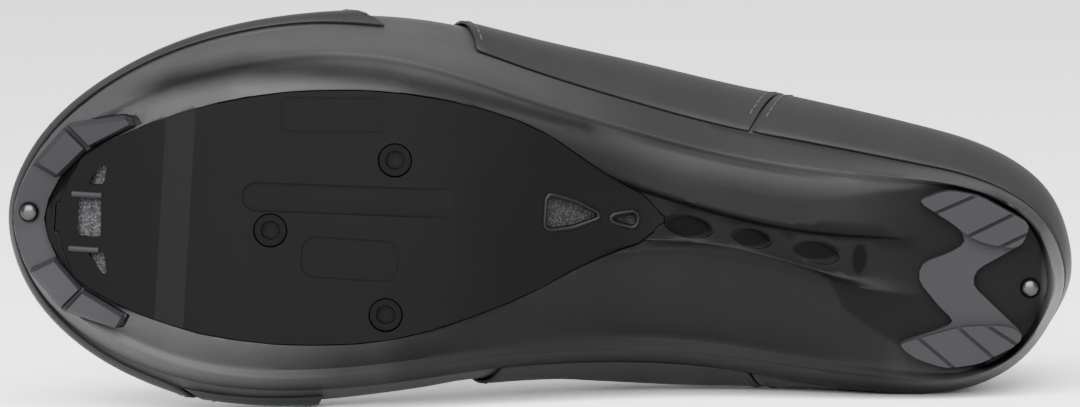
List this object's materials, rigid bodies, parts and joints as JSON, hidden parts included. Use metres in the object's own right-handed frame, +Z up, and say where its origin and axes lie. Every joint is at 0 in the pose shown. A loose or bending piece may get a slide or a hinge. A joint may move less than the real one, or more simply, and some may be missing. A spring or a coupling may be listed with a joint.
{
  "type": "cycling shoe",
  "caption": "Left road cycling shoe lying on its inner side: stiff sole with cleat plate, vents, toe bumper and heel pad under a hollow upper closed by straps.",
  "frame": {"origin": "centre of the shoe's footprint on the floor, in the plane it lies on", "axes": "+X from toe to heel, -Y the way the sole faces, +Z up, towards the shoe's outer side"},
  "size_m": [0.2846, 0.0958, 0.1064],
  "materials": {
    "shell": "satin moulded composite",
    "plate": "smooth dark composite plate",
    "bumper": "matt moulded polyurethane",
    "steel": "turned pan head",
    "mesh": "fine open mesh",
    "insert": "black anodised ring",
    "upper": "smooth synthetic leather",
    "insole": "brushed textile on foam",
    "tongue": "padded textile",
    "overlay": "satin coated synthetic",
    "strap": "hook-and-loop strap, coated outside"
  },
  "bodies": {
    "root": {"outsole": "shell", "forefoot_plate": "plate", "toe_bumper": "bumper", "heel_pad": "bumper", "toe_screw": "steel", "heel_screw": "steel", "toe_vent_mesh": "mesh", "mid_vent_mesh": "mesh", "cleat_insert_front": "insert", "cleat_insert_lateral": "insert", "cleat_insert_medial": "insert", "upper": "upper", "insole": "insole", "tongue": "tongue", "toe_overlay": "overlay", "forefoot_overlay_medial": "overlay", "quarter_overlay_lateral": "overlay", "quarter_overlay_medial": "overlay", "heel_counter": "overlay", "strap_front": "strap", "strap_middle": "strap", "strap_top": "strap"}
  },
  "joints": []
}
